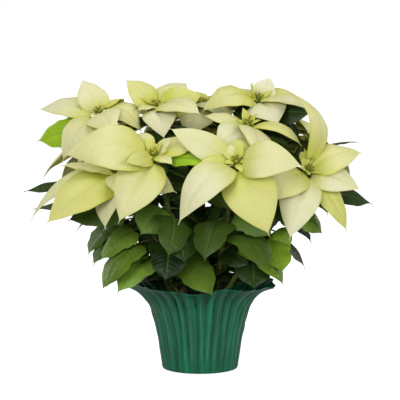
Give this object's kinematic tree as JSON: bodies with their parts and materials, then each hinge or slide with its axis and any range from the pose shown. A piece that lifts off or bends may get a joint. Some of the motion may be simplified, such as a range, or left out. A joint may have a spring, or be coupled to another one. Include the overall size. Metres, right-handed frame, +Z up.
{
  "type": "potted poinsettia",
  "caption": "Cream-bracted potted houseplant with green foliage, standing in a nursery pot inside a fluted flared green pot cover.",
  "frame": {"origin": "middle of the pot cover's flat base, on the surface it stands on", "axes": "+Z up, the front of the plant towards -Y, +X to the right as seen from the front"},
  "size_m": [0.516, 0.4528, 0.437],
  "materials": {
    "cover_plastic": "semi-gloss moulded",
    "nursery_plastic": "satin moulded",
    "potting_mix": "loose composted bark and peat",
    "bark": "young green-brown bark",
    "green_leaf": "satin leaf",
    "bract": "matt bract",
    "flower_cup": "satin"
  },
  "bodies": {
    "root": {"pot_cover": "cover_plastic", "nursery_pot": "nursery_plastic", "soil": "potting_mix", "trunk_left": "bark", "trunk_right": "bark", "trunk_rear": "bark", "branch_a": "green_leaf", "branch_b": "green_leaf", "branch_c": "green_leaf", "branch_d": "green_leaf", "branch_e": "green_leaf", "branch_f": "green_leaf", "branch_g": "green_leaf", "branch_h": "green_leaf", "branch_i": "green_leaf", "branch_j": "green_leaf", "branch_k": "green_leaf", "branch_l": "green_leaf", "branch_m": "green_leaf", "bracts_a": "bract", "bracts_b": "bract", "bracts_c": "bract", "bracts_d": "bract", "bracts_e": "bract", "bracts_f": "bract", "bracts_g": "bract", "bracts_h": "bract", "bracts_i": "bract", "bracts_j": "bract", "bracts_k": "bract", "bracts_l": "bract", "bracts_m": "bract", "flowers_a": "flower_cup", "flowers_b": "flower_cup", "flowers_c": "flower_cup", "flowers_d": "flower_cup", "flowers_e": "flower_cup", "flowers_f": "flower_cup", "flowers_g": "flower_cup", "flowers_h": "flower_cup", "flowers_i": "flower_cup", "flowers_j": "flower_cup", "flowers_k": "flower_cup", "flowers_l": "flower_cup", "flowers_m": "flower_cup"}
  },
  "joints": []
}
